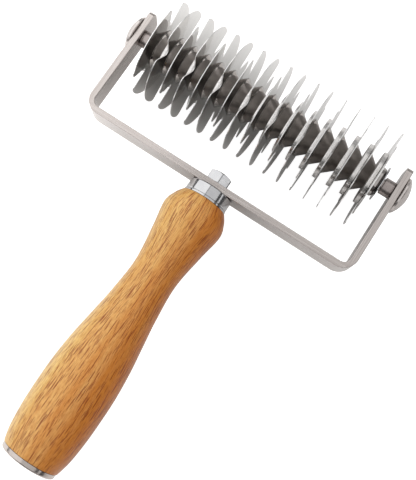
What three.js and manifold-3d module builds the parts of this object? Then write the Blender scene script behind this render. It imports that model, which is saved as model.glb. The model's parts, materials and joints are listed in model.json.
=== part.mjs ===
// Lattice roller cutter: a row of notched blades that turns on an axle between the arms of a
// U-shaped bracket, with a turned wooden handle. Millimetres, +Z up.
//
// The tool lies on a table, as it is put down: the blades and the belly of the handle touch z = 0.
// X runs along the axle, Y along the handle toward the roller, and the origin is the middle of the
// tool's outline on the table.
//
// Inside, everything is laid out in the tool's own frame: the axle's middle is the origin, the
// handle lies along -Y, and the whole is tipped at the end until the handle meets the table.

import * as THREE from 'three';
import { mergeVertices } from 'three/addons/utils/BufferGeometryUtils.js';
import Module from 'manifold-3d';

const { degToRad } = THREE.MathUtils;

// Driving dimensions: the roller
const BLADE_COUNT = 17;
const BLADE_PITCH = 7;
const BLADE_RADIUS = 23.3;
const BLADE_THICKNESS = 0.4;
const LOBE_COUNT = 3;                       // lobes on a blade, with a notch between each two
const NOTCH_HALF_ANGLE = degToRad(22.5);    // between a notch's axis and its side
const NOTCH_FLOOR_RADIUS = 1.5;             // rounding at the bottom of a notch
const LOBE_CORNER_RADIUS = 2;               // rounding where a notch meets the cutting edge
const NOTCH_CLEARANCE = 0.2;                // from the hub's flange to the bottom of a notch
const ROLLER_TURN = degToRad(-10);          // how the first blade stands as the tool lies
const HUB_FLANGE_RADIUS = 12.7;
const HUB_FLANGE_THICKNESS = 1.8;
const HUB_CONE_WIDE_RADIUS = 9.7;           // against the blade that the cone starts from
const HUB_CONE_NARROW_RADIUS = 5.7;         // against the flange
const END_BOSS_RADIUS = 7;
const END_BOSS_CHAMFER = 0.9;
const END_HUB_LENGTH = 2.9;                 // from the last blade to the end washer
const END_WASHER_RADIUS = 8.2;
const END_WASHER_THICKNESS = 0.5;

// Driving dimensions: the axle and what carries it
const AXLE_RADIUS = 3;
const SLEEVE_WALL = 1.1;                    // of the tube that the blades and hubs are strung on
const BUSH_RADIUS = 3.9;
const BUSH_LENGTH = 4.8;
const END_PLAY = 0.9;                       // between an end washer and its bush
const SCREW_RADIUS = 2;
const SCREW_GRIP = 9;                       // how deep a screw reaches into the axle
const SCREW_HEAD_RADIUS = 8.6;
const SCREW_HEAD_RIM = 1.2;
const SCREW_HEAD_HEIGHT = 4.1;
const SOCKET_WIDTH = 4;                     // across the flats of the screw's hexagon socket
const SOCKET_DEPTH = 2;

// Driving dimensions: the bracket, a flat bar bent to a U
const BAR_THICKNESS = 3;
const BAR_WIDTH = 12.5;
const BEND_RADIUS = 3.4;                    // inside the bends
const BEND_OUTER_RADIUS = 7.4;              // outside them, where bending drew the bar thinner
const WEB_DISTANCE = 40;                    // from the axle to the inside of the web
const ARM_OVERHANG = 11.4;                  // of the arms beyond the axle
const ARM_CORNER_RADIUS = 3;

// Driving dimensions: the handle and its fittings
const ROD_RADIUS = 3;
const NUT_WIDTH = 10;                       // across the flats
const NUT_HEIGHT = 5;
const NUT_CHAMFER = 0.7;
const NUT_TURN = degToRad(8);
const FERRULE_RADIUS = 10.2;
const FERRULE_BEAD_RADIUS = 10.45;
const FERRULE_BEAD_WIDTH = 1.3;
const FERRULE_LENGTH = 6.4;
const HANDLE_LENGTH = 127.8;
const CAP_RADIUS = 12.75;
const CAP_THICKNESS = 2.6;
const CAP_EDGE_RADIUS = 1;
const CAP_BOSS_RADIUS = 5;
const CAP_BOSS_LENGTH = 9;
const CAP_THREAD_DEPTH = 8;                 // of the rod in the cap's boss

// The handle's outline: shares of its length from the ferrule, each with the radius there.
const HANDLE_OUTLINE = [
  [0, 10.9],
  [0.027, 13],
  [0.073, 14.5],
  [0.167, 12.5],
  [0.293, 10.45],
  [0.418, 11.5],
  [0.512, 13.1],
  [0.606, 14.75],
  [0.7, 15.75],
  [0.78, 15.9],
  [0.87, 15.6],
  [0.95, 14.6],
  [1, 13.1],
];

// Clearances
const FACE_GAP = 0.1;                       // between faces that are drawn up against each other
const FIT_GAP = 0.2;                        // round a piece that is held in a bore
const RUNNING_GAP = 0.3;                    // round the axle, which the sleeve turns on
const ROUND_SEGMENTS = 18;
const HANDLE_SEGMENTS = 28;
const HANDLE_STEPS = 24;

// Worked out from the above, in the tool's frame
const sleeveBore = AXLE_RADIUS + RUNNING_GAP;
const sleeveRadius = sleeveBore + SLEEVE_WALL;
const hubBore = sleeveRadius + FIT_GAP;
const halfStack = (BLADE_PITCH * (BLADE_COUNT - 1) + BLADE_THICKNESS) / 2;
const washerInner = halfStack + END_HUB_LENGTH + 2 * FACE_GAP;
const washerOuter = washerInner + END_WASHER_THICKNESS;
const bushInner = washerOuter + END_PLAY;
const bushOuter = bushInner + BUSH_LENGTH;
const armInner = bushOuter + FACE_GAP;
const armOuter = armInner + BAR_THICKNESS;
const screwBore = SCREW_RADIUS + FIT_GAP;
const rodBore = ROD_RADIUS + FIT_GAP;
const webInner = -WEB_DISTANCE;
const webOuter = webInner - BAR_THICKNESS;
const nutSeat = webInner + FACE_GAP;
const ferruleTop = webOuter - FACE_GAP;
const ferruleFoot = ferruleTop - FERRULE_LENGTH;
const handleTop = ferruleFoot - FACE_GAP;
const handleFoot = handleTop - HANDLE_LENGTH;
const capTop = handleFoot - FACE_GAP;
const capFoot = capTop - CAP_THICKNESS;

// Materials
const metal = (color, roughness) => new THREE.MeshStandardMaterial({ color, roughness, metalness: 1 });
const bladeSteel = metal(0xd6d6d4, 0.22);
const hubSteel = metal(0xb9b7b3, 0.25);
const bracketSteel = metal(0xc9c2bc, 0.38);
const brightSteel = metal(0xdedede, 0.12);
const axleSteel = metal(0xa9a9a8, 0.3);
const wood = new THREE.MeshStandardMaterial({ color: 0xc8843f, roughness: 0.42, metalness: 0 });

const wasm = await Module();
wasm.setup();

// A closed three.js geometry as a manifold-3d solid, and back.
function toSolid(geometry) {
  const bare = geometry.index ? geometry.toNonIndexed() : geometry.clone();
  bare.deleteAttribute('normal');
  bare.deleteAttribute('uv');
  const merged = mergeVertices(bare, 1e-4);
  return new wasm.Manifold(new wasm.Mesh({
    numProp: 3,
    vertProperties: Float32Array.from(merged.attributes.position.array),
    triVerts: Uint32Array.from(merged.index.array),
  }));
}

function toGeometry(solid) {
  const mesh = solid.getMesh();
  const geometry = new THREE.BufferGeometry();
  geometry.setAttribute('position', new THREE.BufferAttribute(mesh.vertProperties, 3));
  geometry.setIndex(new THREE.BufferAttribute(mesh.triVerts, 1));
  const flat = geometry.toNonIndexed();
  flat.computeVertexNormals();
  return flat;
}

function cutAway(geometry, ...cutters) {
  let solid = toSolid(geometry);
  for (const cutter of cutters) {
    solid = solid.subtract(toSolid(cutter));
  }
  return toGeometry(solid);
}

function arcPoints(centre, radius, start, end, steps) {
  const points = [];
  for (let i = 0; i <= steps; i += 1) {
    const angle = start + (end - start) * i / steps;
    points.push(new THREE.Vector2(
      centre.x + radius * Math.cos(angle),
      centre.y + radius * Math.sin(angle),
    ));
  }
  return points;
}

// A body turned round Y from [radius, height] points; a ring's profile closes on itself.
function turned(profile, segments = ROUND_SEGMENTS) {
  const points = profile.map(([radius, height]) => new THREE.Vector2(radius, height));
  if (points[0].x > 0) {
    points.push(points[0].clone());
  }
  return new THREE.LatheGeometry(points, segments);
}

function ring(outer, bore, from, to) {
  return turned([[bore, from], [outer, from], [outer, to], [bore, to]]);
}

function hexagonPrism(acrossFlats, height) {
  const corner = acrossFlats / 2 / Math.cos(Math.PI / 6);
  return new THREE.CylinderGeometry(corner, corner, height, 6);
}

function piece(name, geometry, material) {
  const mesh = new THREE.Mesh(geometry, material);
  mesh.name = name;
  return mesh;
}

const tool = new THREE.Group();

// The roller's pieces and the axle are turned round local Y, which this group lays along X.
const axleLine = new THREE.Group();
axleLine.rotation.z = -Math.PI / 2;
tool.add(axleLine);

// One blade: a disc of lobes, with a rounded V notch between each two.
function bladeGeometry() {
  const notchReach = HUB_FLANGE_RADIUS + NOTCH_CLEARANCE;
  const floorCentre = notchReach + NOTCH_FLOOR_RADIUS;
  const vertex = floorCentre - NOTCH_FLOOR_RADIUS / Math.sin(NOTCH_HALF_ANGLE);
  const side = new THREE.Vector2(Math.cos(NOTCH_HALF_ANGLE), Math.sin(NOTCH_HALF_ANGLE));
  const inward = new THREE.Vector2(-side.y, side.x);

  // The corner's rounding touches the notch's side and, from inside, the cutting edge.
  const start = new THREE.Vector2(vertex, 0).addScaledVector(inward, LOBE_CORNER_RADIUS);
  const reach = BLADE_RADIUS - LOBE_CORNER_RADIUS;
  const along = start.dot(side);
  const run = -along + Math.sqrt(along * along - start.lengthSq() + reach * reach);
  const corner = start.clone().addScaledVector(side, run);
  const cornerAngle = corner.angle();
  const sideNormal = NOTCH_HALF_ANGLE + Math.PI / 2;
  const origin = new THREE.Vector2(0, 0);
  const lobeEnd = 2 * Math.PI / LOBE_COUNT - cornerAngle;

  const oneNotch = [
    ...arcPoints(new THREE.Vector2(floorCentre, 0), NOTCH_FLOOR_RADIUS,
      2 * Math.PI - sideNormal, sideNormal, 3),
    ...arcPoints(corner, LOBE_CORNER_RADIUS, sideNormal - Math.PI, cornerAngle, 2),
    ...arcPoints(origin, BLADE_RADIUS, cornerAngle, lobeEnd, 7).slice(1, -1),
  ];
  const mirrored = arcPoints(new THREE.Vector2(corner.x, -corner.y), LOBE_CORNER_RADIUS,
    -cornerAngle, Math.PI - sideNormal, 2);
  for (const point of mirrored) {
    oneNotch.push(point.rotateAround(origin, 2 * Math.PI / LOBE_COUNT));
  }
  const outline = [];
  for (let i = 0; i < LOBE_COUNT; i += 1) {
    for (const point of oneNotch) {
      outline.push(point.clone().rotateAround(origin, 2 * Math.PI * i / LOBE_COUNT));
    }
  }
  const shape = new THREE.Shape(outline);
  const bore = arcPoints(origin, hubBore, 0, 2 * Math.PI, ROUND_SEGMENTS).slice(0, -1);
  shape.holes.push(new THREE.Path(bore));
  const geometry = new THREE.ExtrudeGeometry(shape, { depth: BLADE_THICKNESS, bevelEnabled: false });
  geometry.translate(0, 0, -BLADE_THICKNESS / 2);
  geometry.rotateX(-Math.PI / 2);
  return geometry;
}

const number = (i) => String(i + 1).padStart(2, '0');
const bladePlace = (i) => (i - (BLADE_COUNT - 1) / 2) * BLADE_PITCH;

// Every other blade is turned by half a lobe, so that the notches alternate along the roller.
const blade = bladeGeometry();
for (let i = 0; i < BLADE_COUNT; i += 1) {
  const mesh = piece(`blade_${number(i)}`, blade, bladeSteel);
  mesh.position.y = bladePlace(i);
  mesh.rotation.y = ROLLER_TURN + (i % 2) * Math.PI / LOBE_COUNT;
  axleLine.add(mesh);
}

// A hub between two blades: a cone from the one, and a flange that backs the other.
const hubLength = BLADE_PITCH - BLADE_THICKNESS - 2 * FACE_GAP;
const coneEnd = hubLength - HUB_FLANGE_THICKNESS;
const hub = turned([
  [hubBore, 0],
  [HUB_CONE_WIDE_RADIUS, 0],
  [HUB_CONE_NARROW_RADIUS, coneEnd],
  [HUB_FLANGE_RADIUS, coneEnd],
  [HUB_FLANGE_RADIUS, hubLength],
  [hubBore, hubLength],
]);
for (let i = 0; i < BLADE_COUNT - 1; i += 1) {
  const mesh = piece(`hub_${number(i)}`, hub, hubSteel);
  mesh.position.y = bladePlace(i) + BLADE_THICKNESS / 2 + FACE_GAP;
  axleLine.add(mesh);
}

// The end hubs: bosses with a chamfered outer edge, the left one with a flange behind the first blade.
const bossProfile = [
  [hubBore, END_HUB_LENGTH],
  [hubBore, 0],
  [END_BOSS_RADIUS - END_BOSS_CHAMFER, 0],
  [END_BOSS_RADIUS, END_BOSS_CHAMFER],
];
const leftHub = piece('end_hub_left', turned([
  ...bossProfile,
  [END_BOSS_RADIUS, END_HUB_LENGTH - HUB_FLANGE_THICKNESS],
  [HUB_FLANGE_RADIUS, END_HUB_LENGTH - HUB_FLANGE_THICKNESS],
  [HUB_FLANGE_RADIUS, END_HUB_LENGTH],
]), hubSteel);
leftHub.position.y = FACE_GAP - washerInner;
const rightHub = piece('end_hub_right', turned([
  ...bossProfile,
  [END_BOSS_RADIUS, END_HUB_LENGTH],
]), hubSteel);
rightHub.position.y = washerInner - FACE_GAP;
rightHub.rotation.z = Math.PI;
axleLine.add(leftHub, rightHub);

// The sleeve holds the stack together between the end washers and turns on the axle.
axleLine.add(piece('roller_sleeve', ring(sleeveRadius, sleeveBore, -washerOuter, washerOuter), axleSteel));
const axleEnd = armInner - FACE_GAP;
const screwTip = axleEnd - SCREW_GRIP;
const axle = turned([
  [0, FIT_GAP - screwTip],
  [screwBore, FIT_GAP - screwTip],
  [screwBore, -axleEnd],
  [AXLE_RADIUS, -axleEnd],
  [AXLE_RADIUS, axleEnd],
  [screwBore, axleEnd],
  [screwBore, screwTip - FIT_GAP],
  [0, screwTip - FIT_GAP],
]);
axleLine.add(piece('axle', axle, axleSteel));

// A screw with a low domed head and a hexagon socket, which holds one end of the axle.
function screwGeometry() {
  const head = armOuter + FACE_GAP;
  const dome = SCREW_HEAD_HEIGHT - SCREW_HEAD_RIM;
  const domeRadius = (SCREW_HEAD_RADIUS ** 2 + dome ** 2) / (2 * dome);
  const domeCentre = new THREE.Vector2(0, head + SCREW_HEAD_HEIGHT - domeRadius);
  const rimAngle = Math.acos(SCREW_HEAD_RADIUS / domeRadius);
  const domePoints = arcPoints(domeCentre, domeRadius, rimAngle, Math.PI / 2, 5);
  const solid = turned([
    [0, screwTip],
    [SCREW_RADIUS, screwTip],
    [SCREW_RADIUS, head],
    [SCREW_HEAD_RADIUS, head],
    ...domePoints.slice(0, -1).map((point) => [point.x, point.y]),
    [0, head + SCREW_HEAD_HEIGHT],
  ]);
  const socket = hexagonPrism(SOCKET_WIDTH, 2 * SOCKET_DEPTH);
  socket.translate(0, head + SCREW_HEAD_HEIGHT, 0);
  return cutAway(solid, socket);
}

const screw = screwGeometry();
const bush = ring(BUSH_RADIUS, sleeveBore, bushInner, bushOuter);
const endWasher = ring(END_WASHER_RADIUS, hubBore, washerInner, washerOuter);
for (const [sideName, half] of [['left', Math.PI], ['right', 0]]) {
  const end = new THREE.Group();
  end.rotation.z = half;
  end.add(
    piece(`end_washer_${sideName}`, endWasher, brightSteel),
    piece(`axle_bush_${sideName}`, bush, axleSteel),
    piece(`axle_screw_${sideName}`, screw, brightSteel),
  );
  axleLine.add(end);
}

// The bracket: the bar's width and rounded ends, cut to the U that it is bent to.
function bracketGeometry() {
  const bend = (x, face, radius, start, end) => (
    arcPoints(new THREE.Vector2(x, face + radius), radius, start, end, 5)
  );
  const outer = armOuter - BEND_OUTER_RADIUS;
  const inner = armInner - BEND_RADIUS;
  const top = ARM_OVERHANG + BAR_THICKNESS;
  const bent = new THREE.Shape([
    new THREE.Vector2(-armOuter, top),
    ...bend(-outer, webOuter, BEND_OUTER_RADIUS, Math.PI, 1.5 * Math.PI),
    ...bend(outer, webOuter, BEND_OUTER_RADIUS, 1.5 * Math.PI, 2 * Math.PI),
    new THREE.Vector2(armOuter, top),
    new THREE.Vector2(armInner, top),
    ...bend(inner, webInner, BEND_RADIUS, 2 * Math.PI, 1.5 * Math.PI),
    ...bend(-inner, webInner, BEND_RADIUS, 1.5 * Math.PI, Math.PI),
    new THREE.Vector2(-armInner, top),
  ]);
  const depth = 2 * BAR_WIDTH;
  const bentSolid = new THREE.ExtrudeGeometry(bent, { depth, bevelEnabled: false });
  bentSolid.translate(0, 0, -depth / 2);

  const halfWidth = BAR_WIDTH / 2;
  const cornerX = halfWidth - ARM_CORNER_RADIUS;
  const cornerY = ARM_OVERHANG - ARM_CORNER_RADIUS;
  const below = webOuter - BAR_THICKNESS;
  const side = new THREE.Shape([
    new THREE.Vector2(-halfWidth, below),
    new THREE.Vector2(halfWidth, below),
    ...arcPoints(new THREE.Vector2(cornerX, cornerY), ARM_CORNER_RADIUS, 0, Math.PI / 2, 4),
    ...arcPoints(new THREE.Vector2(-cornerX, cornerY), ARM_CORNER_RADIUS, Math.PI / 2, Math.PI, 4),
  ]);
  const length = 2 * armOuter + 2 * BAR_THICKNESS;
  const barSolid = new THREE.ExtrudeGeometry(side, { depth: length, bevelEnabled: false });
  barSolid.translate(0, 0, -length / 2);
  barSolid.rotateY(Math.PI / 2);

  const screwHoles = new THREE.CylinderGeometry(screwBore, screwBore, length, ROUND_SEGMENTS);
  screwHoles.rotateZ(Math.PI / 2);
  const rodHole = new THREE.CylinderGeometry(rodBore, rodBore, 4 * BAR_THICKNESS, ROUND_SEGMENTS);
  rodHole.translate(0, webInner, 0);
  const bar = toGeometry(toSolid(bentSolid).intersect(toSolid(barSolid)));
  return cutAway(bar, screwHoles, rodHole);
}
tool.add(piece('bracket', bracketGeometry(), bracketSteel));

// The nut on the rod, with its corners turned off at the top.
function nutGeometry() {
  const corner = NUT_WIDTH / 2 / Math.cos(Math.PI / 6);
  const hexagon = hexagonPrism(NUT_WIDTH, NUT_HEIGHT);
  hexagon.rotateY(NUT_TURN);
  hexagon.translate(0, nutSeat + NUT_HEIGHT / 2, 0);
  const top = nutSeat + NUT_HEIGHT;
  const roundedOff = turned([
    [0, nutSeat - NUT_HEIGHT],
    [corner + NUT_CHAMFER, nutSeat - NUT_HEIGHT],
    [corner + NUT_CHAMFER, top - NUT_CHAMFER],
    [corner, top - NUT_CHAMFER],
    [NUT_WIDTH / 2 - NUT_CHAMFER / 2, top],
    [0, top],
  ]);
  const bore = new THREE.CylinderGeometry(rodBore, rodBore, 4 * NUT_HEIGHT, ROUND_SEGMENTS);
  bore.translate(0, nutSeat, 0);
  return cutAway(toGeometry(toSolid(hexagon).intersect(toSolid(roundedOff))), bore);
}
tool.add(piece('web_nut', nutGeometry(), brightSteel));

// The ferrule between the web and the wood, with a bead at its foot.
const beadTop = ferruleFoot + FERRULE_BEAD_WIDTH;
const beadRound = FERRULE_BEAD_RADIUS - FERRULE_RADIUS;
const ferrule = turned([
  [rodBore, ferruleFoot],
  [FERRULE_RADIUS, ferruleFoot],
  [FERRULE_BEAD_RADIUS, ferruleFoot + beadRound],
  [FERRULE_BEAD_RADIUS, beadTop - beadRound],
  [FERRULE_RADIUS, beadTop],
  [FERRULE_RADIUS, ferruleTop - beadRound],
  [FERRULE_RADIUS - beadRound, ferruleTop],
  [rodBore, ferruleTop],
], HANDLE_SEGMENTS);
tool.add(piece('ferrule', ferrule, brightSteel));

// The wooden handle, bored for the rod and, at its foot, for the cap's boss.
const outlineCurve = new THREE.SplineCurve(HANDLE_OUTLINE.map(([share, radius]) => (
  new THREE.Vector2(radius, handleTop - share * HANDLE_LENGTH)
)));
const outlinePoints = outlineCurve.getPoints(HANDLE_STEPS).map((point) => [point.x, point.y]);
const bossBore = CAP_BOSS_RADIUS + FIT_GAP;
const bossBoreTop = handleFoot + CAP_BOSS_LENGTH + FACE_GAP;
const handle = turned([
  [rodBore, handleTop],
  [rodBore, bossBoreTop],
  [bossBore, bossBoreTop],
  [bossBore, handleFoot],
  ...outlinePoints.reverse(),
], HANDLE_SEGMENTS);
tool.add(piece('handle', handle, wood));

// The end cap with its boss, and the rod that draws everything together between it and the nut.
const threadFoot = capTop + CAP_BOSS_LENGTH - CAP_THREAD_DEPTH;
const capEdge = arcPoints(
  new THREE.Vector2(CAP_RADIUS - CAP_EDGE_RADIUS, capFoot + CAP_EDGE_RADIUS),
  CAP_EDGE_RADIUS, -Math.PI / 2, 0, 3,
);
const endCap = turned([
  [0, capFoot],
  ...capEdge.map((point) => [point.x, point.y]),
  [CAP_RADIUS, capTop],
  [CAP_BOSS_RADIUS, capTop],
  [CAP_BOSS_RADIUS, capTop + CAP_BOSS_LENGTH],
  [rodBore, capTop + CAP_BOSS_LENGTH],
  [rodBore, threadFoot],
  [0, threadFoot],
], HANDLE_SEGMENTS);
tool.add(piece('end_cap', endCap, brightSteel));

const rodFoot = threadFoot + FACE_GAP;
const rodTop = nutSeat + NUT_HEIGHT - FACE_GAP;
const rod = turned([[0, rodFoot], [ROD_RADIUS, rodFoot], [ROD_RADIUS, rodTop], [0, rodTop]]);
tool.add(piece('tie_rod', rod, axleSteel));

// Tip the tool about the axle until the handle, too, lies on the table under the blades.
const tips = outlinePoints.map(([radius, y]) => (
  Math.asin(BLADE_RADIUS / Math.hypot(radius, y)) - Math.atan2(radius, -y)
));
tool.rotation.x = Math.min(...tips);

// Put the origin under the middle of the tool, on the table.
const lyingTool = new THREE.Group();
lyingTool.add(tool);
const box = new THREE.Box3().setFromObject(lyingTool, true);
const middle = box.getCenter(new THREE.Vector3());
tool.position.set(-middle.x, -middle.y, -box.min.z);

export default lyingTool;
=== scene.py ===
# The lattice roller cutter dressed for the photograph: smooth pieces in place of the faceted solids,
# their materials, a white floor, soft studio light and the photograph's camera.
#
# Pieces are made in the tool's own frame: the axle's middle is the origin, X runs along the axle,
# the handle lies along -Y and Z points up. Sizes are millimetres and repeat those of the solids.

import json
import math

import bmesh
import bpy
from mathutils import Matrix, Vector

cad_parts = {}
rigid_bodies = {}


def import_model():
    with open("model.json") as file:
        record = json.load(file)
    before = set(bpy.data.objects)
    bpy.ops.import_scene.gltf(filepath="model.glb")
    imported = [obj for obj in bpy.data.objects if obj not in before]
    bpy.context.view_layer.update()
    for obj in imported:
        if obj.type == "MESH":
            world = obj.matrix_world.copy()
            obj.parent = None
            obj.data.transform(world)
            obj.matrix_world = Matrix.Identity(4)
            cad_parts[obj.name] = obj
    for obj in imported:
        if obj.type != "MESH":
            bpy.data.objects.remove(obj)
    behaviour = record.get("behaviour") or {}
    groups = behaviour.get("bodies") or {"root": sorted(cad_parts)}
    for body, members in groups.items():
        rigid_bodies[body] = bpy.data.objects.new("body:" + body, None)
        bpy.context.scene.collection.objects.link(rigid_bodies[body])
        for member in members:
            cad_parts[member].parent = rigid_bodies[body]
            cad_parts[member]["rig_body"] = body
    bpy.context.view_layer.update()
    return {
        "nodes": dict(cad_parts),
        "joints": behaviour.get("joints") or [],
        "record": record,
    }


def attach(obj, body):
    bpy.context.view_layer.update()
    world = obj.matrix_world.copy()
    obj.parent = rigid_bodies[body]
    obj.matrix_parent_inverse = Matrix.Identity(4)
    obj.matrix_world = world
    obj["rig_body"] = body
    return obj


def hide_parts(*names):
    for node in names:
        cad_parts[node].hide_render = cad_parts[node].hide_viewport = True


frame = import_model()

MM = 0.001

# The roller
BLADE_COUNT = 17
BLADE_PITCH = 7
BLADE_RADIUS = 23.3
BLADE_THICKNESS = 0.4
LOBE_COUNT = 3
NOTCH_HALF_ANGLE = math.radians(22.5)
NOTCH_FLOOR_RADIUS = 1.5
NOTCH_REACH = 12.9
LOBE_CORNER_RADIUS = 2
ROLLER_TURN = math.radians(-10)
HUB_BORE = 4.6
HUB_FLANGE_RADIUS = 12.7
HUB_FLANGE_THICKNESS = 1.8
HUB_CONE_WIDE_RADIUS = 9.7
HUB_CONE_NARROW_RADIUS = 5.7
END_BOSS_RADIUS = 7
END_BOSS_CHAMFER = 0.9
END_HUB_LENGTH = 2.9
END_WASHER_RADIUS = 8.2
END_WASHER_THICKNESS = 0.5

# The axle and what carries it
AXLE_RADIUS = 3
SLEEVE_BORE = 3.3
SLEEVE_RADIUS = 4.4
BUSH_RADIUS = 3.9
BUSH_LENGTH = 4.8
END_PLAY = 0.9
SCREW_RADIUS = 2
SCREW_BORE = 2.2
SCREW_GRIP = 9
SCREW_HEAD_RADIUS = 8.6
SCREW_HEAD_RIM = 1.2
SCREW_HEAD_HEIGHT = 4.1
SOCKET_WIDTH = 4
SOCKET_DEPTH = 2

# The bracket
BAR_THICKNESS = 3
BAR_WIDTH = 12.5
BEND_RADIUS = 3.4
BEND_OUTER_RADIUS = 7.4
WEB_DISTANCE = 40
ARM_OVERHANG = 11.4
ARM_CORNER_RADIUS = 3

# The handle and its fittings
ROD_RADIUS = 3
ROD_BORE = 3.2
NUT_WIDTH = 10
NUT_HEIGHT = 5
NUT_CHAMFER = 0.7
NUT_TURN = math.radians(8)
FERRULE_RADIUS = 10.2
FERRULE_BEAD_RADIUS = 10.45
FERRULE_BEAD_WIDTH = 1.3
FERRULE_LENGTH = 6.4
HANDLE_LENGTH = 127.8
CAP_RADIUS = 12.75
CAP_THICKNESS = 2.6
CAP_EDGE_RADIUS = 1
CAP_BOSS_RADIUS = 5
CAP_BOSS_BORE = 5.2
CAP_BOSS_LENGTH = 9
CAP_THREAD_DEPTH = 8

# The handle's outline: shares of its length from the ferrule, each with the radius there.
HANDLE_OUTLINE = [
    (0, 10.9),
    (0.027, 13),
    (0.073, 14.5),
    (0.167, 12.5),
    (0.293, 10.45),
    (0.418, 11.5),
    (0.512, 13.1),
    (0.606, 14.75),
    (0.7, 15.75),
    (0.78, 15.9),
    (0.87, 15.6),
    (0.95, 14.6),
    (1, 13.1),
]

FACE_GAP = 0.1
FIT_GAP = 0.2
ROUND_SEGMENTS = 72
HANDLE_SEGMENTS = 112
HANDLE_STEPS = 144
SMOOTH_ANGLE = math.radians(35)     # sharper edges than this are shaded as edges

# Worked out from the above
half_stack = (BLADE_PITCH * (BLADE_COUNT - 1) + BLADE_THICKNESS) / 2
washer_inner = half_stack + END_HUB_LENGTH + 2 * FACE_GAP
washer_outer = washer_inner + END_WASHER_THICKNESS
bush_inner = washer_outer + END_PLAY
bush_outer = bush_inner + BUSH_LENGTH
arm_inner = bush_outer + FACE_GAP
arm_outer = arm_inner + BAR_THICKNESS
axle_end = arm_inner - FACE_GAP
screw_tip = axle_end - SCREW_GRIP
web_inner = -WEB_DISTANCE
web_outer = web_inner - BAR_THICKNESS
nut_seat = web_inner + FACE_GAP
ferrule_top = web_outer - FACE_GAP
ferrule_foot = ferrule_top - FERRULE_LENGTH
handle_top = ferrule_foot - FACE_GAP
handle_foot = handle_top - HANDLE_LENGTH
cap_top = handle_foot - FACE_GAP
cap_foot = cap_top - CAP_THICKNESS

# Where the tool lies: the joint gives the axle's middle and the cap's mount gives the tip.
joint = frame["joints"][0]
mounts = {mount["name"]: mount for mount in frame["record"]["mounts"]}
butt_axis = mounts["butt_face"]["axis"]
tip = math.atan2(-butt_axis[2], -butt_axis[1])
tool = Matrix.Translation(joint["pos_m"]) @ Matrix.Rotation(tip, 4, "X")


# Nodes of a material: values are set on their sockets and sockets are linked.

def add_node(tree, kind, inputs=None, **settings):
    node = tree.nodes.new(kind)
    for key, value in settings.items():
        setattr(node, key, value)
    for key, value in (inputs or {}).items():
        if isinstance(value, bpy.types.NodeSocket):
            tree.links.new(value, node.inputs[key])
        else:
            node.inputs[key].default_value = value
    return node


def math_node(tree, operation, *values):
    inputs = dict(enumerate(values))
    return add_node(tree, "ShaderNodeMath", inputs, operation=operation).outputs[0]


def vector_node(tree, operation, *values):
    inputs = dict(enumerate(values))
    return add_node(tree, "ShaderNodeVectorMath", inputs, operation=operation).outputs[0]


def noise(tree, vector, scale, detail=2, roughness=0.5):
    inputs = {"Vector": vector, "Scale": scale, "Detail": detail, "Roughness": roughness}
    return add_node(tree, "ShaderNodeTexNoise", inputs).outputs["Fac"]


def between(tree, value, low, high, start=0.0, end=1.0):
    inputs = {"Value": value, "From Min": low, "From Max": high, "To Min": start, "To Max": end}
    return add_node(tree, "ShaderNodeMapRange", inputs, interpolation_type="SMOOTHSTEP").outputs[0]


def mix_colours(tree, share, first, second):
    node = add_node(tree, "ShaderNodeMix", data_type="RGBA")
    for socket, value in ((node.inputs[0], share), (node.inputs[6], first), (node.inputs[7], second)):
        if isinstance(value, bpy.types.NodeSocket):
            tree.links.new(value, socket)
        else:
            socket.default_value = value
    return node.outputs[2]


def colour(red, green, blue):
    """A colour written as on a screen, 0 to 255, in the linear values that a shader takes."""
    linear = []
    for value in (red, green, blue):
        share = value / 255
        linear.append(share / 12.92 if share < 0.04045 else ((share + 0.055) / 1.055) ** 2.4)
    return (*linear, 1)


def new_material(name):
    material = bpy.data.materials.new(name)
    material.use_nodes = True
    tree = material.node_tree
    shader = tree.nodes["Principled BSDF"]
    place = add_node(tree, "ShaderNodeTexCoord").outputs["Object"]
    millimetres = vector_node(tree, "MULTIPLY", place, (1 / MM, 1 / MM, 1 / MM))
    return material, tree, shader, millimetres


def link(tree, socket, shader, name):
    tree.links.new(socket, shader.inputs[name])


def bump(tree, height, distance, strength=1.0):
    inputs = {"Height": height, "Distance": distance * MM, "Strength": strength}
    return add_node(tree, "ShaderNodeBump", inputs).outputs["Normal"]


def stretched(tree, millimetres, x, y, z):
    return vector_node(tree, "MULTIPLY", millimetres, (x, y, z))


NOISE_LOW = 0.3                     # a noise seldom leaves this range
NOISE_HIGH = 0.7


def metal(tree, shader, tone, darkest, lightest, polish, smoothest, roughest):
    """Metal whose colour follows one pattern and whose roughness follows another."""
    link(tree, mix_colours(tree, tone, darkest, lightest), shader, "Base Color")
    shader.inputs["Metallic"].default_value = 1.0
    link(tree, between(tree, polish, NOISE_LOW, NOISE_HIGH, smoothest, roughest), shader, "Roughness")


def polished_sheet():
    """Blades: bright rolled sheet with a faint cloudiness and very fine scratches."""
    material, tree, shader, place = new_material("blade_sheet")
    cloud = noise(tree, place, 0.12, 3)
    scratch = noise(tree, stretched(tree, place, 1.0, 0.5, 6.0), 1.0, 3, 0.6)
    metal(tree, shader, cloud, colour(222, 220, 218), colour(236, 235, 233), scratch, 0.03, 0.09)
    return material


def ground_edge():
    """The blades' edges: ground, and less smooth than the sheet."""
    material, tree, shader, place = new_material("blade_edge")
    grind = noise(tree, place, 3.0, 2)
    metal(tree, shader, grind, colour(216, 215, 214), colour(234, 233, 232), grind, 0.22, 0.34)
    return material


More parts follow.
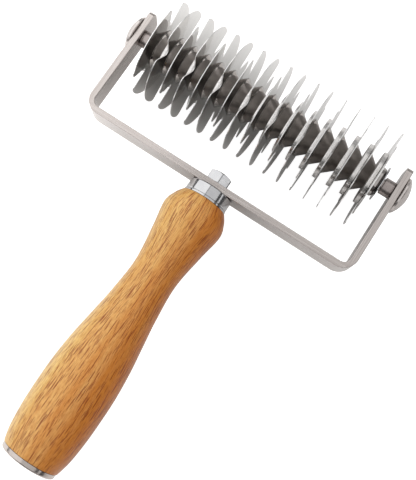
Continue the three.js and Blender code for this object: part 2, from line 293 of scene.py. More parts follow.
def flange_metal():
    """The hubs' rims: bright, with the short bright and dark flecks that a turning tool leaves."""
    material, tree, shader, place = new_material("flange_rim")
    lines = noise(tree, stretched(tree, place, 5.0, 0.5, 0.5), 1.0, 3, 0.6)
    flecks = noise(tree, stretched(tree, place, 0.8, 1.8, 1.8), 1.0, 2)
    metal(tree, shader, lines, colour(172, 167, 164), colour(240, 239, 238), flecks, 0.16, 0.36)
    rough = math_node(tree, "ADD", lines, flecks)
    link(tree, bump(tree, rough, 0.014, 0.3), shader, "Normal")
    return material


def smooth_metal():
    """The hubs' cones and bosses: smooth, and dark where they show their dark neighbours."""
    material, tree, shader, place = new_material("hub_cone")
    cloud = noise(tree, place, 0.35, 2)
    turned_lines = noise(tree, stretched(tree, place, 4.0, 0.15, 0.15), 1.0, 2)
    metal(tree, shader, cloud, colour(142, 137, 134), colour(178, 174, 171), turned_lines, 0.05, 0.11)
    return material


def dull_side():
    """The hubs' free sides, which only the cones show: turned and left dull."""
    material, tree, shader, place = new_material("flange_side")
    cloud = noise(tree, place, 0.5, 2)
    metal(tree, shader, cloud, colour(186, 182, 179), colour(206, 203, 201), cloud, 0.36, 0.44)
    return material


def brushed_bar():
    """The bracket: satin steel, brushed along the bar, which turns at the bends."""
    material, tree, shader, place = new_material("bracket_brushed")
    along_web = noise(tree, stretched(tree, place, 0.04, 1.8, 1.8), 1.0, 4, 0.7)
    along_arm = noise(tree, stretched(tree, place, 1.8, 0.04, 1.8), 1.0, 4, 0.7)
    split = add_node(tree, "ShaderNodeSeparateXYZ", {"Vector": place})
    on_arm = between(tree, split.outputs["Y"], web_outer, web_inner + BEND_RADIUS)
    difference = math_node(tree, "SUBTRACT", along_arm, along_web)
    brush = math_node(tree, "MULTIPLY_ADD", difference, on_arm, along_web)
    cloud = noise(tree, place, 0.08, 3)
    base = mix_colours(tree, cloud, colour(166, 158, 154), colour(180, 173, 169))
    brush_share = between(tree, brush, 0.35, 0.65, 0.0, 0.4)
    tone = mix_colours(tree, brush_share, base, colour(206, 200, 197))
    link(tree, tone, shader, "Base Color")
    shader.inputs["Metallic"].default_value = 1.0
    link(tree, between(tree, brush, 0.25, 0.75, 0.17, 0.3), shader, "Roughness")
    link(tree, bump(tree, brush, 0.008, 0.3), shader, "Normal")
    return material


def bright_plate():
    """Ferrule, nut and washers: bright plating with faint polishing lines."""
    material, tree, shader, place = new_material("bright_plate")
    cloud = noise(tree, place, 0.3, 3)
    lines = noise(tree, stretched(tree, place, 0.3, 4.0, 0.3), 1.0, 2)
    metal(tree, shader, cloud, colour(176, 176, 179), colour(192, 192, 192), lines, 0.07, 0.16)
    link(tree, bump(tree, lines, 0.004, 0.3), shader, "Normal")
    return material


def satin_plate(name, darkest, lightest, smoothest, roughest):
    """The screws and the cap: the same plating, dulled by handling."""
    material, tree, shader, place = new_material(name)
    cloud = noise(tree, place, 0.6, 4, 0.6)
    metal(tree, shader, cloud, darkest, lightest, cloud, smoothest, roughest)
    return material


def turned_metal():
    """Axle, sleeve, bushes and rod: plain turned steel."""
    material, tree, shader, place = new_material("turned_steel")
    lines = noise(tree, stretched(tree, place, 7.0, 0.3, 0.3), 1.0, 3)
    metal(tree, shader, lines, colour(136, 127, 124), colour(168, 160, 157), lines, 0.24, 0.38)
    link(tree, bump(tree, lines, 0.015, 0.5), shader, "Normal")
    return material


def pores(tree, grain, width, length, size):
    """Dashes along the grain, of about that width and length, each with its own strength."""
    cells = stretched(tree, grain, 1 / width, 1 / length, 1)
    voronoi = add_node(tree, "ShaderNodeTexVoronoi", {"Vector": cells, "Scale": 1.0})
    fate = add_node(tree, "ShaderNodeSeparateColor", {"Color": voronoi.outputs["Color"]}).outputs[0]
    reach = between(tree, fate, 0.4, 1.0, 0.0, size)
    closeness = math_node(tree, "SUBTRACT", reach, voronoi.outputs["Distance"])
    return between(tree, closeness, -0.02, 0.07)


GRAIN_RADIUS = 13                   # where a millimetre of the grain's pattern is a millimetre
GRAIN_WANDER = 3.0                  # how far the grain drifts sideways
PAINTED_SHADE_SLOPE = 0.024                 # painted shade: how fast the wood's colour darkens to the right, away from the lamps at the left, for a millimetre
PALE_END = -0.1
DARK_END = 0.94


def lacquered_wood():
    """The handle: golden open-grained wood with dark pores along the grain, under a clear lacquer."""
    material, tree, shader, place = new_material("handle_wood")
    split = add_node(tree, "ShaderNodeSeparateXYZ", {"Vector": place})
    x, y, z = split.outputs["X"], split.outputs["Y"], split.outputs["Z"]

    # The grain runs along the surface: its pattern lies on (way round the axis, way along it).
    wander = noise(tree, stretched(tree, place, 0.08, 0.02, 0.08), 1.0, 2)
    shift = math_node(tree, "MULTIPLY", wander, GRAIN_WANDER)
    turn = math_node(tree, "ARCTAN2", x, z)
    round_axis = math_node(tree, "MULTIPLY_ADD", turn, GRAIN_RADIUS, shift)
    grain = add_node(tree, "ShaderNodeCombineXYZ", {"X": round_axis, "Y": y}).outputs[0]

    rings = noise(tree, stretched(tree, place, 0.22, 0.012, 0.1), 1.0, 3, 0.55)
    faint_rings = between(tree, rings, 0.0, 1.0, 0.3, 0.7)
    # Painted light and shade: the wood's colour is paler on the left, where the lamps fall, and darker
    # on the right, on top of its real rings.
    darkening = math_node(tree, "MULTIPLY_ADD", x, PAINTED_SHADE_SLOPE, faint_rings)
    rings_and_painted_shade = between(tree, darkening, PALE_END, DARK_END)
    fibres = noise(tree, stretched(tree, grain, 2.2, 0.3, 1), 1.0, 4, 0.7)
    base = mix_colours(tree, rings_and_painted_shade, colour(238, 206, 130), colour(200, 118, 34))
    fibre_share = between(tree, fibres, 0.35, 0.7, 0.0, 0.6)
    grained = mix_colours(tree, fibre_share, base, colour(166, 88, 26))

    large = pores(tree, grain, 0.42, 9, 0.48)
    middle = math_node(tree, "MULTIPLY", pores(tree, grain, 0.36, 7, 0.48), 0.9)
    small = math_node(tree, "MULTIPLY", pores(tree, grain, 0.3, 5, 0.46), 0.8)
    dashes = math_node(tree, "MAXIMUM", large, math_node(tree, "MAXIMUM", middle, small))
    dash_share = math_node(tree, "MULTIPLY", dashes, 0.85)
    tone = mix_colours(tree, dash_share, grained, colour(124, 48, 8))
    link(tree, tone, shader, "Base Color")
    link(tree, between(tree, fibres, NOISE_LOW, NOISE_HIGH, 0.36, 0.46), shader, "Roughness")
    shader.inputs["Specular IOR Level"].default_value = 0.1
    shader.inputs["Coat Weight"].default_value = 0.4
    shader.inputs["Coat Roughness"].default_value = 0.26
    height = math_node(tree, "SUBTRACT", 1.0, dashes)
    link(tree, bump(tree, height, 0.02, 0.3), shader, "Normal")
    return material


blade_sheet = polished_sheet()
blade_edge = ground_edge()
flange_rim = flange_metal()
hub_cone = smooth_metal()
flange_side = dull_side()
bracket_brushed = brushed_bar()
bright = bright_plate()
screw_plate = satin_plate("screw_plate", colour(186, 179, 176), colour(202, 196, 193), 0.22, 0.3)
cap_plate = satin_plate("cap_plate", colour(164, 155, 150), colour(184, 176, 171), 0.14, 0.24)
turned_steel = turned_metal()
wood = lacquered_wood()


# Shapes

EASE_SHARE = 0.45                   # how much of a side the rounding of its corner may take
FLAT_LEAN = 0.9                     # a face that looks along the axle, by its normal's share


def arc(centre, radius, start, end, steps):
    points = []
    for i in range(steps + 1):
        angle = start + (end - start) * i / steps
        points.append((centre[0] + radius * math.cos(angle), centre[1] + radius * math.sin(angle)))
    return points


def eased(points, radius, steps=3):
    """A closed outline with every corner rounded off, as far as its neighbours leave room."""
    result = []
    for i, point in enumerate(points):
        corner = Vector(point)
        back = Vector(points[i - 1]) - corner
        ahead = Vector(points[(i + 1) % len(points)]) - corner
        reach = min(radius, back.length * EASE_SHARE, ahead.length * EASE_SHARE)
        start = corner + back.normalized() * reach
        end = corner + ahead.normalized() * reach
        for step in range(steps + 1):
            share = step / steps
            near = start.lerp(corner, share)
            result.append(tuple(near.lerp(corner.lerp(end, share), share)))
    return result


def closed_mesh(name, vertices, faces):
    """A mesh from millimetres, with its faces turned outward."""
    mesh = bpy.data.meshes.new(name)
    mesh.from_pydata([Vector(vertex) * MM for vertex in vertices], [], faces)
    solid = bmesh.new()
    solid.from_mesh(mesh)
    bmesh.ops.recalc_face_normals(solid, faces=solid.faces)
    solid.to_mesh(mesh)
    solid.free()
    return mesh


def add_piece(node, vertices, faces, materials, choose=None):
    """A piece in place of a node: it takes the node's body, and lies as the tool lies."""
    mesh = closed_mesh(f"{node}_fine", vertices, faces)
    for material in materials:
        mesh.materials.append(material)
    if choose:
        for polygon in mesh.polygons:
            polygon.material_index = choose(polygon.center / MM, polygon.normal)
    mesh.shade_smooth()
    mesh.set_sharp_from_angle(angle=SMOOTH_ANGLE)
    piece = bpy.data.objects.new(f"{node}_fine", mesh)
    bpy.context.scene.collection.objects.link(piece)
    piece.matrix_world = tool
    body = frame["nodes"][node]["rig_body"]
    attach(piece, body)
    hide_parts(node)
    return piece


def along_x(radius, angle, along):
    return (along, -radius * math.cos(angle), -radius * math.sin(angle))


def along_y(radius, angle, along):
    return (radius * math.cos(angle), along, -radius * math.sin(angle))


def lathe(profile, place, segments=ROUND_SEGMENTS):
    """Vertices and faces of a ring turned from a closed outline of (radius, along) points."""
    count = len(profile)
    vertices = []
    faces = []
    for step in range(segments):
        angle = 2 * math.pi * step / segments
        vertices += [place(radius, angle, along) for radius, along in profile]
        here = step * count
        there = (step + 1) % segments * count
        for i in range(count):
            j = (i + 1) % count
            faces.append((here + i, here + j, there + j, there + i))
    return vertices, faces


def ring(outer, bore, start, end, ease):
    return eased([(bore, start), (outer, start), (outer, end), (bore, end)], ease)


def number(i):
    return f"{i + 1:02d}"


def blade_place(i):
    return (i - (BLADE_COUNT - 1) / 2) * BLADE_PITCH


# Blades: the outline's points run from the bore out over one face, round the edge and back.

NOTCH_STEPS = 5
LOBE_CORNER_STEPS = 8
RIM_STEPS = 14


def blade_outline():
    floor_centre = NOTCH_REACH + NOTCH_FLOOR_RADIUS
    vertex = Vector((floor_centre - NOTCH_FLOOR_RADIUS / math.sin(NOTCH_HALF_ANGLE), 0))
    side = Vector((math.cos(NOTCH_HALF_ANGLE), math.sin(NOTCH_HALF_ANGLE)))
    start = vertex + Vector((-side.y, side.x)) * LOBE_CORNER_RADIUS
    reach = BLADE_RADIUS - LOBE_CORNER_RADIUS
    along = start.dot(side)
    rest = math.sqrt(along * along - start.length_squared + reach * reach)
    corner = start + side * (rest - along)
    corner_angle = math.atan2(corner.y, corner.x)
    normal = NOTCH_HALF_ANGLE + math.pi / 2
    lobe_turn = 2 * math.pi / LOBE_COUNT

    half_floor = arc((floor_centre, 0), NOTCH_FLOOR_RADIUS, math.pi, normal, NOTCH_STEPS)
    rounding = arc(corner, LOBE_CORNER_RADIUS, normal - math.pi, corner_angle, LOBE_CORNER_STEPS)
    rim = arc((0, 0), BLADE_RADIUS, corner_angle, lobe_turn / 2, RIM_STEPS)
    half = half_floor + rounding + rim[1:]
    points = []
    for lobe in range(LOBE_COUNT):
        turn = Matrix.Rotation(lobe * lobe_turn, 2)
        across = Matrix.Rotation(lobe_turn, 2)
        mirrored = [across @ Vector((x, -y)) for x, y in reversed(half[1:-1])]
        points += [turn @ Vector(point) for point in half] + [turn @ point for point in mirrored]
    return points


BLADE_EASE = 0.06
half_blade = BLADE_THICKNESS / 2
outline = blade_outline()
blade_section = [          # how far from the edge, and where across the thickness
    (BLADE_EASE, -half_blade),
    (0, BLADE_EASE - half_blade),
    (0, half_blade - BLADE_EASE),
    (BLADE_EASE, half_blade),
]


def blade_shape(i):
    turn = ROLLER_TURN + (i % 2) * math.pi / LOBE_COUNT
    middle = blade_place(i)
    count = len(blade_section) + 2
    vertices = []
    faces = []
    for step, point in enumerate(outline):
        radius = point.length
        angle = math.atan2(point.y, point.x) + turn
        loop = [(HUB_BORE, -half_blade)]
        loop += [(radius - inset, across) for inset, across in blade_section]
        loop.append((HUB_BORE, half_blade))
        vertices += [along_x(reach, angle, middle + across) for reach, across in loop]
        here = step * count
        there = (step + 1) % len(outline) * count
        for a in range(count):
            b = (a + 1) % count
            faces.append((here + a, there + a, there + b, here + b))
    return vertices, faces


def face_or_edge(centre, normal):
    on_rim = Vector((centre.y, centre.z)).length > HUB_FLANGE_RADIUS
    return 1 if on_rim and abs(normal.x) < FLAT_LEAN else 0


for i in range(BLADE_COUNT):
    add_piece(f"blade_{number(i)}", *blade_shape(i), [blade_sheet, blade_edge], face_or_edge)

# Hubs: a smooth cone from one blade, and a bright flange that backs the next.
HUB_EASE = 0.15
hub_length = BLADE_PITCH - BLADE_THICKNESS - 2 * FACE_GAP
cone_end = hub_length - HUB_FLANGE_THICKNESS
hub_profile = [
    (HUB_BORE, 0),
    (HUB_CONE_WIDE_RADIUS, 0),
    (HUB_CONE_NARROW_RADIUS, cone_end),
    (HUB_FLANGE_RADIUS, cone_end),
    (HUB_FLANGE_RADIUS, hub_length),
    (HUB_BORE, hub_length),
]


def flange_or_cone(centre, normal):
    """The flange is bright on its rim and dull on its free side, and the cone or boss is smooth."""
    radius = Vector((centre.y, centre.z)).length
    if radius > HUB_FLANGE_RADIUS - HUB_EASE:
        return 0
    return 1 if normal.x < -FLAT_LEAN and radius > HUB_CONE_NARROW_RADIUS else 2


def hub_piece(node, profile, start):
    placed = [(radius, start + along) for radius, along in eased(profile, HUB_EASE)]
    return add_piece(node, *lathe(placed, along_x), [flange_rim, flange_side, hub_cone], flange_or_cone)


for i in range(BLADE_COUNT - 1):
    hub_piece(f"hub_{number(i)}", hub_profile, blade_place(i) + half_blade + FACE_GAP)

boss_profile = [
    (HUB_BORE, END_HUB_LENGTH),
    (HUB_BORE, 0),
    (END_BOSS_RADIUS - END_BOSS_CHAMFER, 0),
    (END_BOSS_RADIUS, END_BOSS_CHAMFER),
]
left_profile = boss_profile + [
    (END_BOSS_RADIUS, END_HUB_LENGTH - HUB_FLANGE_THICKNESS),
    (HUB_FLANGE_RADIUS, END_HUB_LENGTH - HUB_FLANGE_THICKNESS),
    (HUB_FLANGE_RADIUS, END_HUB_LENGTH),
]
right_profile = boss_profile + [(END_BOSS_RADIUS, END_HUB_LENGTH)]
hub_piece("end_hub_left", left_profile, FACE_GAP - washer_inner)
hub_piece("end_hub_right", [(radius, -along) for radius, along in reversed(right_profile)],
          washer_inner - FACE_GAP)

# The axle, its sleeve and the bushes
END_EASE = 0.15
BUSH_EASE = 0.3
sleeve = ring(SLEEVE_RADIUS, SLEEVE_BORE, -washer_outer, washer_outer, END_EASE)
add_piece("roller_sleeve", *lathe(sleeve, along_x), [turned_steel])


def closed_lathe(profile, place, segments=ROUND_SEGMENTS):
    """A body turned from an open outline whose two ends lie on the axis."""
    inner = profile[1:-1]
    count = len(inner)
    vertices = []
    faces = []
    for step in range(segments):
        angle = 2 * math.pi * step / segments
        vertices += [place(radius, angle, along) for radius, along in inner]
    first = len(vertices)
    vertices += [place(0, 0, profile[0][1]), place(0, 0, profile[-1][1])]
    for step in range(segments):
        here = step * count
        there = (step + 1) % segments * count
        for i in range(count - 1):
            faces.append((here + i, here + i + 1, there + i + 1, there + i))
        faces.append((first, here, there))
        faces.append((here + count - 1, first + 1, there + count - 1))
    return vertices, faces


axle_profile = [
    (0, FIT_GAP - screw_tip),
    (SCREW_BORE, FIT_GAP - screw_tip),
    (SCREW_BORE, -axle_end),
    (AXLE_RADIUS, -axle_end),
    (AXLE_RADIUS, axle_end),
    (SCREW_BORE, axle_end),
    (SCREW_BORE, screw_tip - FIT_GAP),
    (0, screw_tip - FIT_GAP),
]
add_piece("axle", *closed_lathe(axle_profile, along_x), [turned_steel])

bush = ring(BUSH_RADIUS, SLEEVE_BORE, bush_inner, bush_outer, BUSH_EASE)
end_washer = ring(END_WASHER_RADIUS, HUB_BORE, washer_inner, washer_outer, END_EASE)


def mirrored_left(vertices, faces):
    return [(-x, y, z) for x, y, z in vertices], [tuple(reversed(face)) for face in faces]


def both_ends(stem, shape, material):
    add_piece(f"{stem}_right", *shape, [material])
    add_piece(f"{stem}_left", *mirrored_left(*shape), [material])


both_ends("axle_bush", lathe(bush, along_x), turned_steel)
both_ends("end_washer", lathe(end_washer, along_x), bright)


# The screws: a shank, a low domed head with a rounded rim, and a hexagon socket in the dome.

SCREW_TIP_EASE = 0.4
SCREW_SEAT_EASE = 0.3
DOME_INSETS = (0, 0.08, 0.25, 0.5, 1.0, 1.8, 2.8, 4.0)  # from the head's rim to the socket
RIM_ROUND_REACH = 0.5               # the dome's rim is rounded off that far in
RIM_ROUND_SLOPE = 0.35
SOCKET_POINT = 0.5                  # depth of the drill's point below the socket's floor


def hexagon_reach(angle, across_flats):
    """How far a hexagon's side is from its middle in that direction."""
    sector = math.pi / 3
    return across_flats / 2 / math.cos((angle + sector / 2) % sector - sector / 2)


def screw_shape():
    head = arm_outer + FACE_GAP
    dome = SCREW_HEAD_HEIGHT - SCREW_HEAD_RIM
    dome_radius = (SCREW_HEAD_RADIUS ** 2 + dome ** 2) / (2 * dome)
    dome_centre = head + SCREW_HEAD_HEIGHT - dome_radius
    floor = head + SCREW_HEAD_HEIGHT - SOCKET_DEPTH

    def dome_height(radius):
        return dome_centre + math.sqrt(dome_radius ** 2 - radius ** 2)

    outside = [
        (SCREW_RADIUS - SCREW_TIP_EASE, screw_tip),
        (SCREW_RADIUS, screw_tip + SCREW_TIP_EASE),
        (SCREW_RADIUS, head),
        (SCREW_HEAD_RADIUS - SCREW_SEAT_EASE, head),
        (SCREW_HEAD_RADIUS, head + SCREW_SEAT_EASE),
    ]
    for inset in DOME_INSETS:
        radius = SCREW_HEAD_RADIUS - inset
        rounding = RIM_ROUND_SLOPE * max(0, RIM_ROUND_REACH - inset)
        outside.append((radius, dome_height(radius) - rounding))
    count = len(outside) + 2
    vertices = []
    faces = []
    for step in range(ROUND_SEGMENTS):
        angle = 2 * math.pi * step / ROUND_SEGMENTS
        wall = hexagon_reach(angle, SOCKET_WIDTH)
        loop = outside + [(wall, dome_height(wall)), (wall, floor)]
        vertices += [along_x(radius, angle, along) for radius, along in loop]
        here = step * count
        there = (step + 1) % ROUND_SEGMENTS * count
        for i in range(count - 1):
            faces.append((here + i, here + i + 1, there + i + 1, there + i))
    vertices += [(screw_tip, 0, 0), (floor - SOCKET_POINT, 0, 0)]
    for step in range(ROUND_SEGMENTS):
        here = step * count
        there = (step + 1) % ROUND_SEGMENTS * count
        faces.append((len(vertices) - 2, here, there))
        faces.append((here + count - 1, len(vertices) - 1, there + count - 1))
    return vertices, faces


both_ends("axle_screw", screw_shape(), screw_plate)


# The bracket: a bar with eased edges, swept round the U. Each station has a point inside the U, the
# point across the bar from it, half the width and how far the edges draw in.

BAR_EASE = 0.35
LEAST_EASE = 0.02                   # at the arms' very ends
EASE_STEPS = 4
CORNER_STEPS = 14
BEND_STEPS = 16
HOLE_MARGIN = 1                     # how far a hole's cutter stands out of the bar


def bracket_stations():
    half_width = BAR_WIDTH / 2
    stations = []
    for step in range(CORNER_STEPS + 1):
        angle = math.pi / 2 * step / CORNER_STEPS
        depth = ARM_CORNER_RADIUS * (1 - math.cos(angle))
        width = half_width - ARM_CORNER_RADIUS * (1 - math.sin(angle))
        short = max(0, BAR_EASE - depth)
        draw = BAR_EASE - math.sqrt(BAR_EASE ** 2 - short ** 2)
        y = ARM_OVERHANG - depth
        stations.append((Vector((arm_inner, y)), Vector((arm_outer, y)), width, draw))

    def bend(arm, web, radius):
        return arc((arm - radius, web + radius), radius, 0, -math.pi / 2, BEND_STEPS)

    inside = bend(arm_inner, web_inner, BEND_RADIUS)
    outside = bend(arm_outer, web_outer, BEND_OUTER_RADIUS)
    stations += [(Vector(inner), Vector(outer), half_width, 0) for inner, outer in zip(inside, outside)]
    mirror = Matrix.Diagonal((-1, 1))
    left = [(mirror @ inner, mirror @ outer, width, draw)
            for inner, outer, width, draw in reversed(stations)]
    return stations + left


def bracket_shape():
    stations = bracket_stations()
    vertices = []
    faces = []
    for inner, outer, width, draw in stations:
        middle = (inner + outer) / 2
        outward = (outer - inner).normalized()
        half_thickness = (outer - inner).length / 2 - draw
        high = width - draw
        section = eased([
            (half_thickness, -high),
            (half_thickness, high),
            (-half_thickness, high),
            (-half_thickness, -high),
        ], max(BAR_EASE - draw, LEAST_EASE), EASE_STEPS)
        vertices += [(*(middle + outward * across), z) for across, z in section]
    count = len(section)
    for step in range(len(stations) - 1):
        here = step * count
        there = here + count
        for i in range(count):
            j = (i + 1) % count
            faces.append((here + i, here + j, there + j, there + i))
    faces.append(tuple(range(count - 1, -1, -1)))
    faces.append(tuple(range(len(vertices) - count, len(vertices))))
    return vertices, faces


def cut_holes(piece, holes):
    """Cuts round holes, each given by a lathed shape, into a piece."""
    for i, (vertices, faces) in enumerate(holes):
        cutter = bpy.data.objects.new(f"hole_{i}", closed_mesh(f"hole_{i}", vertices, faces))
        bpy.context.scene.collection.objects.link(cutter)
        cutter.matrix_world = tool
        modifier = piece.modifiers.new("hole", "BOOLEAN")
        modifier.object = cutter
        modifier.solver = "EXACT"
        bpy.context.view_layer.update()
        evaluated = piece.evaluated_get(bpy.context.evaluated_depsgraph_get())
        cut = bpy.data.meshes.new_from_object(evaluated)
        piece.modifiers.clear()
        piece.data = cut
        bpy.data.objects.remove(cutter)
    piece.data.shade_smooth()
    piece.data.set_sharp_from_angle(angle=SMOOTH_ANGLE)
    piece.modifiers.new("flat_faces_flat", "WEIGHTED_NORMAL").keep_sharp = True


def plug(radius, place, start, end):
    return closed_lathe([(0, start), (radius, start), (radius, end), (0, end)], place)


bracket = add_piece("bracket", *bracket_shape(), [bracket_brushed])
cut_holes(bracket, [
    plug(SCREW_BORE, along_x, -arm_outer - HOLE_MARGIN, HOLE_MARGIN - arm_inner),
    plug(SCREW_BORE, along_x, arm_inner - HOLE_MARGIN, arm_outer + HOLE_MARGIN),
    plug(ROD_BORE, along_y, web_outer - HOLE_MARGIN, web_inner + HOLE_MARGIN),
])


# The nut: its corners are turned off to a cone, which leaves a curve on each of its sides.

NUT_CORNER_EASE = 0.3
NUT_FOOT_EASE = 0.1
NUT_SIDES = 6
NUT_SIDE_PARTS = 12                 # steps along a side, for the curve of its top


def nut_shape():
    top = nut_seat + NUT_HEIGHT
    crown = NUT_WIDTH / 2 - NUT_CHAMFER / 2
    half_side = math.pi / NUT_SIDES
    corner_radius = NUT_WIDTH / 2 / math.cos(half_side)
    slope = NUT_CHAMFER / (corner_radius - crown)
    corners = arc((0, 0), corner_radius, 0, 2 * math.pi, NUT_SIDES)[:-1]
    plan = []
    rounded = eased(corners, NUT_CORNER_EASE, EASE_STEPS)
    for i, point in enumerate(rounded):
        start = Vector(point)
        end = Vector(rounded[(i + 1) % len(rounded)])
        parts = NUT_SIDE_PARTS if (end - start).length > NUT_CORNER_EASE else 1
        plan += [start.lerp(end, part / parts) for part in range(parts)]
    vertices = []
    faces = []
    for step, point in enumerate(plan):
        radius = point.length
        angle = math.atan2(point.y, point.x) + NUT_TURN + half_side
        shoulder = top - slope * (radius - crown)
        loop = [
            (ROD_BORE, nut_seat),
            (radius - NUT_FOOT_EASE, nut_seat),
            (radius, nut_seat + NUT_FOOT_EASE),
            (radius, shoulder),
            (crown, top),
            (ROD_BORE, top),
        ]
        count = len(loop)
        vertices += [along_y(reach, angle, along) for reach, along in loop]
        here = step * count
        there = (step + 1) % len(plan) * count
        for i in range(count):
            j = (i + 1) % count
            faces.append((here + i, here + j, there + j, there + i))
    return vertices, faces


add_piece("web_nut", *nut_shape(), [bright])

# The ferrule with its bead, and a fine groove above the bead.
bead_top = ferrule_foot + FERRULE_BEAD_WIDTH
bead_round = FERRULE_BEAD_RADIUS - FERRULE_RADIUS
GROOVE_DEPTH = 0.2
FERRULE_EASE = 0.12
FERRULE_TOP_EASE = 0.5
ferrule_profile = [
    (ROD_BORE, ferrule_foot),
    (FERRULE_RADIUS, ferrule_foot),
    (FERRULE_BEAD_RADIUS, ferrule_foot + bead_round),
    (FERRULE_BEAD_RADIUS, bead_top - bead_round),
    (FERRULE_RADIUS - GROOVE_DEPTH, bead_top),
    (FERRULE_RADIUS, bead_top + GROOVE_DEPTH),
    (FERRULE_RADIUS, ferrule_top - FERRULE_TOP_EASE),
    (FERRULE_RADIUS - FERRULE_TOP_EASE, ferrule_top),
    (ROD_BORE, ferrule_top),
]
ferrule_outline = eased(ferrule_profile, FERRULE_EASE)
add_piece("ferrule", *lathe(ferrule_outline, along_y, HANDLE_SEGMENTS), [bright])


# The handle: a smooth curve through the outline's points.

def curve_point(share):
    """A point of the uniform Catmull-Rom curve through the outline, for a share from 0 to 1."""
    spans = len(HANDLE_OUTLINE) - 1
    index = min(int(share * spans), spans - 1)
    local = share * spans - index
    places = [max(0, min(spans, index + offset)) for offset in (-1, 0, 1, 2)]
    before, start, end, after = [Vector(HANDLE_OUTLINE[place]) for place in places]
    first = (end - before) / 2
    last = (after - start) / 2
    square = local * local
    cube = square * local
    point = (2 * start - 2 * end + first + last) * cube
    point += (3 * end - 3 * start - 2 * first - last) * square
    point += first * local + start
    return point.y, handle_top - point.x * HANDLE_LENGTH


boss_bore_top = handle_foot + CAP_BOSS_LENGTH + FACE_GAP
handle_profile = [
    (ROD_BORE, handle_top),
    (ROD_BORE, boss_bore_top),
    (CAP_BOSS_BORE, boss_bore_top),
    (CAP_BOSS_BORE, handle_foot),
]
handle_profile += [curve_point(1 - step / HANDLE_STEPS) for step in range(HANDLE_STEPS + 1)]
add_piece("handle", *lathe(handle_profile, along_y, HANDLE_SEGMENTS), [wood])

# The end cap and the rod
CAP_EDGE_STEPS = 8
CAP_TOP_EASE = 0.2
ROD_END_EASE = 0.6
thread_foot = cap_top + CAP_BOSS_LENGTH - CAP_THREAD_DEPTH
edge_centre = (CAP_RADIUS - CAP_EDGE_RADIUS, cap_foot + CAP_EDGE_RADIUS)
cap_edge = arc(edge_centre, CAP_EDGE_RADIUS, -math.pi / 2, 0, CAP_EDGE_STEPS)
cap_profile = [
    (0, cap_foot),
    *cap_edge,
    (CAP_RADIUS, cap_top - CAP_TOP_EASE),
    (CAP_RADIUS - CAP_TOP_EASE, cap_top),
    (CAP_BOSS_RADIUS, cap_top),
    (CAP_BOSS_RADIUS, cap_top + CAP_BOSS_LENGTH),
    (ROD_BORE, cap_top + CAP_BOSS_LENGTH),
    (ROD_BORE, thread_foot),
    (0, thread_foot),
]
add_piece("end_cap", *closed_lathe(cap_profile, along_y, HANDLE_SEGMENTS), [cap_plate])

rod_foot = thread_foot + FACE_GAP
rod_top = nut_seat + NUT_HEIGHT - FACE_GAP
rod_profile = [
    (0, rod_foot),
    (ROD_RADIUS, rod_foot),
    (ROD_RADIUS, rod_top - ROD_END_EASE),
    (ROD_RADIUS - ROD_END_EASE, rod_top),
    (0, rod_top),
]
add_piece("tie_rod", *closed_lathe(rod_profile, along_y), [turned_steel])

# The camera, as fitted to the photograph: a turn from the tool's frame to the camera's, with its
# X to the right, Y down and Z away, and the place of the tool's origin in it.
CAMERA_TURN = Vector((2.815246, 0.852658, -0.128764))
TOOL_SEEN_AT = Vector((40.2793, -47.9992, 333.9526))
FOCAL_PIXELS = 746.628
IMAGE_WIDTH = 416
IMAGE_HEIGHT = 480
OPTICAL_CENTRE = (174.3, 220.1)     # the photograph is cropped off the middle of its lens
SENSOR_HEIGHT = 24
NEAREST_SEEN = 0.01

seen = Matrix.Rotation(CAMERA_TURN.length, 3, CAMERA_TURN.normalized())
camera_data = bpy.data.cameras.new("photo_camera")
camera_data.sensor_fit = "VERTICAL"
camera_data.sensor_height = SENSOR_HEIGHT
camera_data.lens = FOCAL_PIXELS * SENSOR_HEIGHT / IMAGE_HEIGHT
camera_data.shift_x = (IMAGE_WIDTH / 2 - OPTICAL_CENTRE[0]) / IMAGE_HEIGHT
camera_data.shift_y = (OPTICAL_CENTRE[1] - IMAGE_HEIGHT / 2) / IMAGE_HEIGHT
camera_data.clip_start = NEAREST_SEEN
camera = bpy.data.objects.new("photo_camera", camera_data)
bpy.context.scene.collection.objects.link(camera)
facing = (seen.transposed() @ Matrix.Diagonal((1, -1, -1))).to_4x4()
eye = seen.transposed() @ -TOOL_SEEN_AT * MM
camera.matrix_world = tool @ Matrix.Translation(eye) @ facing
bpy.context.scene.camera = camera
bpy.context.scene.view_settings.view_transform = "Standard"

# The floor: white to the camera, and in reflections a pale floor with the object's shadow, under a
# painted glow that is brighter at the front and left, darker at the back and right, and darkened near
# things as painted shade.
FLOOR_REACH = 6.0
FLOOR_TONE = (0.6, 0.59, 0.58, 1)
FLOOR_GLOW = 0.9                    # to the camera
REFLECTED_FRONT = 1.05              # painted glow seen in metal, where nothing stands near, before the bracket
REFLECTED_BACK = 0.6                # and under the roller
REFLECTED_RIGHT = 0.3               # share that is left of these at the right
FRONT_ENDS = 0.03                   # where the floor begins to darken to the back
BACK_STARTS = 0.06                  # and where it has done so
LEFT_ENDS = -0.05                   # and the same to the right
RIGHT_STARTS = 0.12
SHADE_REACH = 0.06                  # painted shade: how near a thing darkens the floor's reflected glow
SHADE_DEPTH = 2.0                   # and how strongly


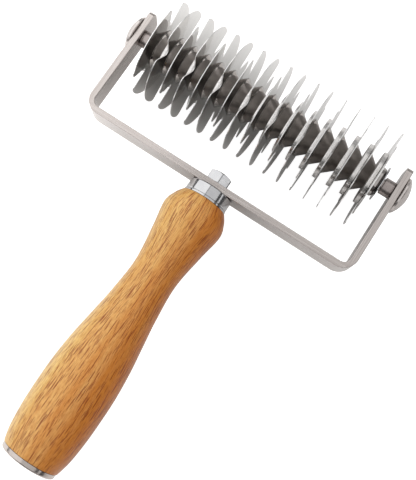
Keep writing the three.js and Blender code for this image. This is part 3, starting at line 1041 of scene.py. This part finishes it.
def floor_material():
    material = bpy.data.materials.new("floor_white")
    material.use_nodes = True
    tree = material.node_tree
    tree.nodes.clear()
    path = add_node(tree, "ShaderNodeLightPath").outputs
    shiny = math_node(tree, "MAXIMUM", path["Is Glossy Ray"], path["Is Transmission Ray"])
    place = add_node(tree, "ShaderNodeNewGeometry").outputs["Position"]
    split = add_node(tree, "ShaderNodeSeparateXYZ", {"Vector": place})
    x, y = split.outputs["X"], split.outputs["Y"]
    # Painted light and shade: a glow that only reflections see, graded by place and darkened near
    # things by ambient occlusion.
    backward = between(tree, y, FRONT_ENDS, BACK_STARTS, REFLECTED_FRONT, REFLECTED_BACK)
    to_the_right = between(tree, x, LEFT_ENDS, RIGHT_STARTS, 1, REFLECTED_RIGHT)
    painted_glow_by_place = math_node(tree, "MULTIPLY", backward, to_the_right)
    occlusion = add_node(tree, "ShaderNodeAmbientOcclusion", {"Distance": SHADE_REACH})
    shade = math_node(tree, "POWER", occlusion.outputs["AO"], SHADE_DEPTH)
    reflected = math_node(tree, "MULTIPLY", math_node(tree, "MULTIPLY", shiny, painted_glow_by_place), shade)
    glow = math_node(tree, "MULTIPLY_ADD", path["Is Camera Ray"], FLOOR_GLOW, reflected)
    diffuse = add_node(tree, "ShaderNodeBsdfDiffuse", {"Color": FLOOR_TONE})
    emission = add_node(tree, "ShaderNodeEmission", {"Strength": glow})
    both = add_node(tree, "ShaderNodeAddShader", {0: diffuse.outputs[0], 1: emission.outputs[0]})
    add_node(tree, "ShaderNodeOutputMaterial", {"Surface": both.outputs[0]})
    return material


floor_mesh = bpy.data.meshes.new("floor")
floor_corners = [(x * FLOOR_REACH, y * FLOOR_REACH, 0) for x, y in ((-1, -1), (1, -1), (1, 1), (-1, 1))]
floor_mesh.from_pydata(floor_corners, [], [(0, 1, 2, 3)])
floor_mesh.materials.append(floor_material())
floor = bpy.data.objects.new("floor", floor_mesh)
bpy.context.scene.collection.objects.link(floor)

# The surroundings: white to the camera, and for light a dim studio, darker to the right and
# lighter behind the roller.
STUDIO_LEFT = 0.18
STUDIO_RIGHT = 0.12
STUDIO_BACK = 0.3                   # added to these behind the roller
TURNS_RIGHT = (-0.6, 0.8)           # where the direction's X takes it from left to right
TURNS_BACK = (0.3, 0.9)             # and its Y from the sides to the back


def studio_world():
    world = bpy.data.worlds.new("studio")
    world.use_nodes = True
    tree = world.node_tree
    tree.nodes.clear()
    direction = add_node(tree, "ShaderNodeTexCoord").outputs["Generated"]
    split = add_node(tree, "ShaderNodeSeparateXYZ", {"Vector": direction})
    sides = between(tree, split.outputs["X"], *TURNS_RIGHT, STUDIO_LEFT, STUDIO_RIGHT)
    behind = between(tree, split.outputs["Y"], *TURNS_BACK, 0, STUDIO_BACK)
    studio = math_node(tree, "ADD", sides, behind)
    is_camera = add_node(tree, "ShaderNodeLightPath").outputs["Is Camera Ray"]
    level = math_node(tree, "MAXIMUM", studio, is_camera)
    inputs = {"Color": (1, 1, 1, 1), "Strength": level}
    background = add_node(tree, "ShaderNodeBackground", inputs)
    add_node(tree, "ShaderNodeOutputWorld", {"Surface": background.outputs[0]})
    return world


bpy.context.scene.world = studio_world()

# Soft boxes stand in an arch over the tool, at an angle from straight up to the right, and each
# reaches from one end of the tool past the other.
LIGHT_DISTANCE = 0.62
LIGHT_LENGTH = 1.8
ARCH_CENTRE = (0, 0, 0.02)


def add_soft_box(name, first_angle, last_angle, brightness):
    half = math.radians(last_angle - first_angle) / 2
    angle = math.radians(first_angle) + half
    data = bpy.data.lights.new(name, "AREA")
    data.shape = "RECTANGLE"
    data.size = 2 * LIGHT_DISTANCE * math.tan(half)
    data.size_y = LIGHT_LENGTH
    data.energy = brightness * math.pi * data.size * data.size_y
    light = bpy.data.objects.new(name, data)
    light.visible_camera = False
    bpy.context.scene.collection.objects.link(light)
    turn = Matrix.Rotation(angle, 4, "Y")
    outward = Matrix.Translation((0, 0, LIGHT_DISTANCE))
    light.matrix_world = Matrix.Translation(ARCH_CENTRE) @ turn @ outward


add_soft_box("box_left", -80, -10, 1.42)
add_soft_box("box_over", -7, 50, 0.85)
add_soft_box("strip_right", 64, 71, 1.2)
